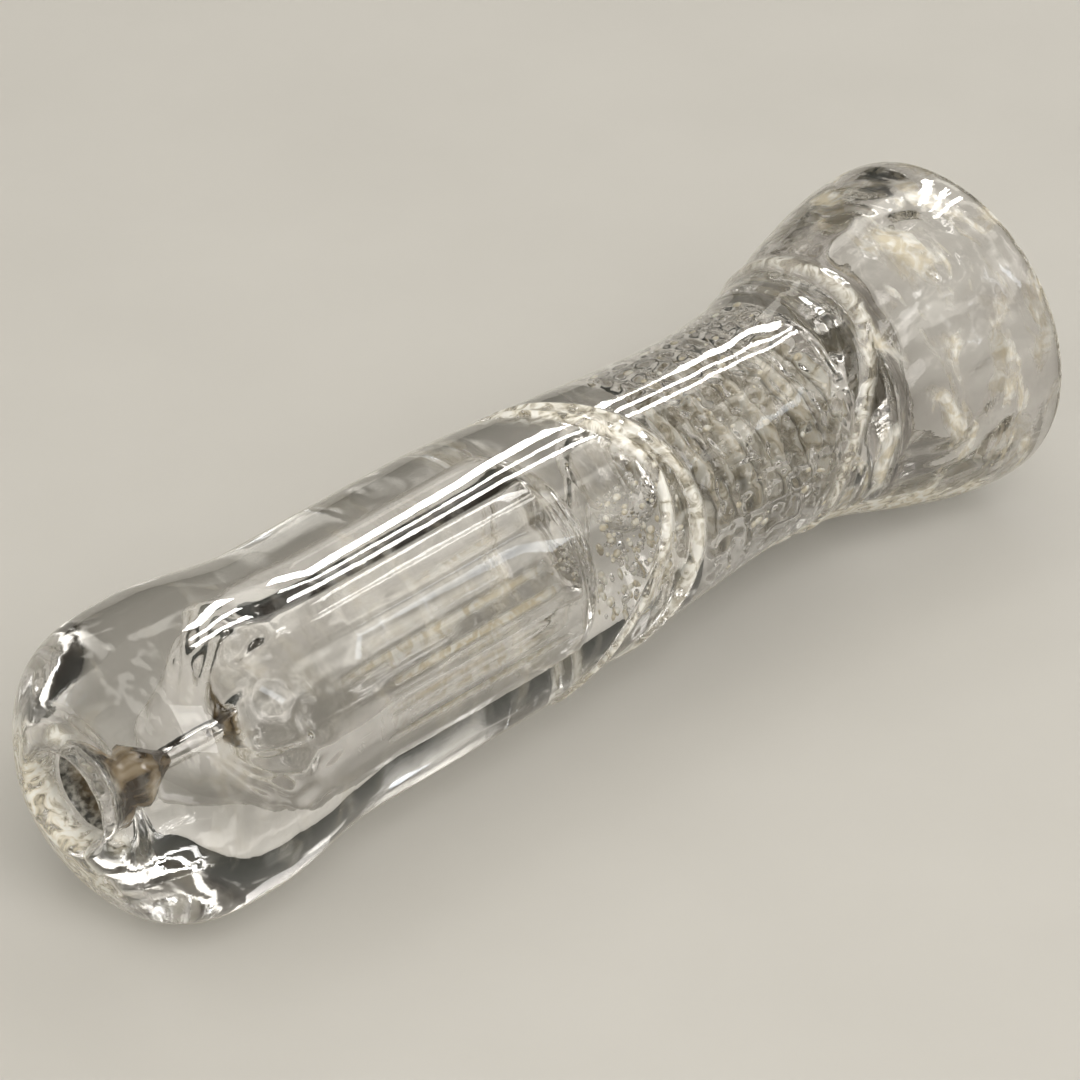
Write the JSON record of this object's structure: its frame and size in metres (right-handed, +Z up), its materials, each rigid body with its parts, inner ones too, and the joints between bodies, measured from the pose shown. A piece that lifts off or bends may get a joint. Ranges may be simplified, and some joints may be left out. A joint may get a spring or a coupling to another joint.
{
  "type": "glass guitar slide",
  "caption": "Clear lampworked glass tube with a holed round nose, a hollow heavy-wall barrel, a narrow waist cased over wound canes, and a flared open bell.",
  "frame": {"origin": "on the surface that the tube lies on, under the middle of its length", "axes": "+X along the tube from the nose towards the bell, +Z up; the tube's axis climbs 1.1 degrees towards the wider bell"},
  "size_m": [0.0762, 0.0228, 0.0227],
  "materials": {
    "clear_glass": "fire-polished, clear, faint lengthwise draw lines",
    "cane_glass": "clear with a faint cream tint"
  },
  "bodies": {
    "root": {"nose_bulb": "clear_glass", "barrel_tube": "clear_glass", "seam_ring": "clear_glass", "inner_bulb": "clear_glass", "core_tube": "clear_glass", "waist_sleeve": "clear_glass", "neck_collar": "clear_glass", "bell": "clear_glass", "rim_bead": "clear_glass", "twist_cane_1": "cane_glass", "twist_cane_2": "cane_glass", "twist_cane_3": "cane_glass", "twist_cane_4": "cane_glass"}
  },
  "joints": []
}
